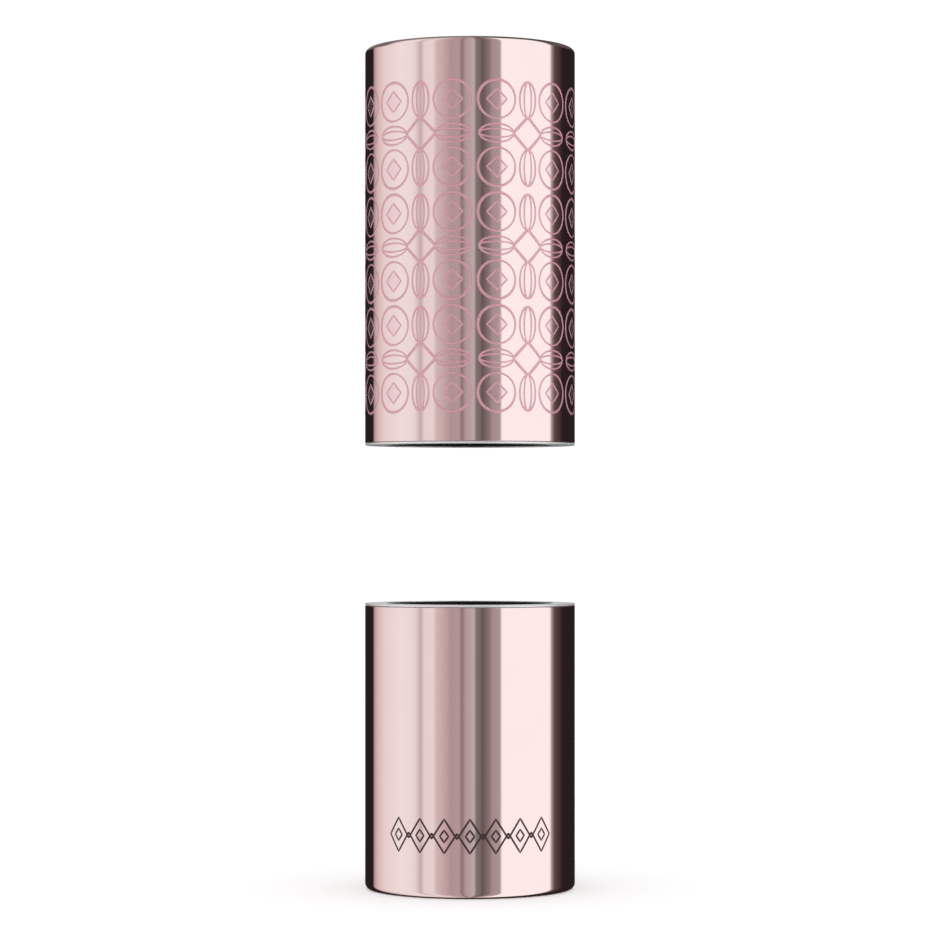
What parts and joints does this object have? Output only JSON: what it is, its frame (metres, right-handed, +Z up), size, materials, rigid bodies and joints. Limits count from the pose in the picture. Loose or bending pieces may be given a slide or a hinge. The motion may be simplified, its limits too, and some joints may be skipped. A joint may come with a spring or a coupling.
{
  "type": "lipstick case",
  "caption": "Empty refillable lipstick case: a straight round cap with an inlaid geometric medallion band over a straight round base with a click-in refill socket, both rose-gold metal.",
  "frame": {"origin": "centre of the base's underside, on the surface it stands on", "axes": "+Z up along the common axis of base and cap, -Y the front, where the decorated band of the base is centred"},
  "size_m": [0.0216, 0.0216, 0.0858],
  "materials": {
    "rose_gold_metal": "polished rose-gold anodised aluminium, mirror bright",
    "silver_trim": "bright silver anodised aluminium, turned",
    "inlay_pink": "pink lacquer laid into the engraved medallion lines of the cap",
    "inlay_dark": "dark warm-grey lacquer laid into the fine band at the front of the base",
    "black_liner": "black moulded polypropylene, semi-gloss",
    "socket_plastic": "dark grey acetal, satin",
    "weight_steel": "turned steel",
    "blank_label": "blank satin film label"
  },
  "bodies": {
    "base": {"base_shell": "rose_gold_metal", "base_mouth_ring": "silver_trim", "base_liner": "black_liner", "refill_socket": "socket_plastic", "base_weight": "weight_steel", "bottom_label": "blank_label"},
    "cap": {"cap_shell": "rose_gold_metal", "cap_mouth_ring": "silver_trim", "cap_liner": "black_liner", "cap_weight": "weight_steel"}
  },
  "joints": [
    {"name": "cap_lift", "type": "slide", "parent": "base", "child": "cap", "axis": [0, 0, 1], "range_m": [-0.016, 0.0204]}
  ]
}
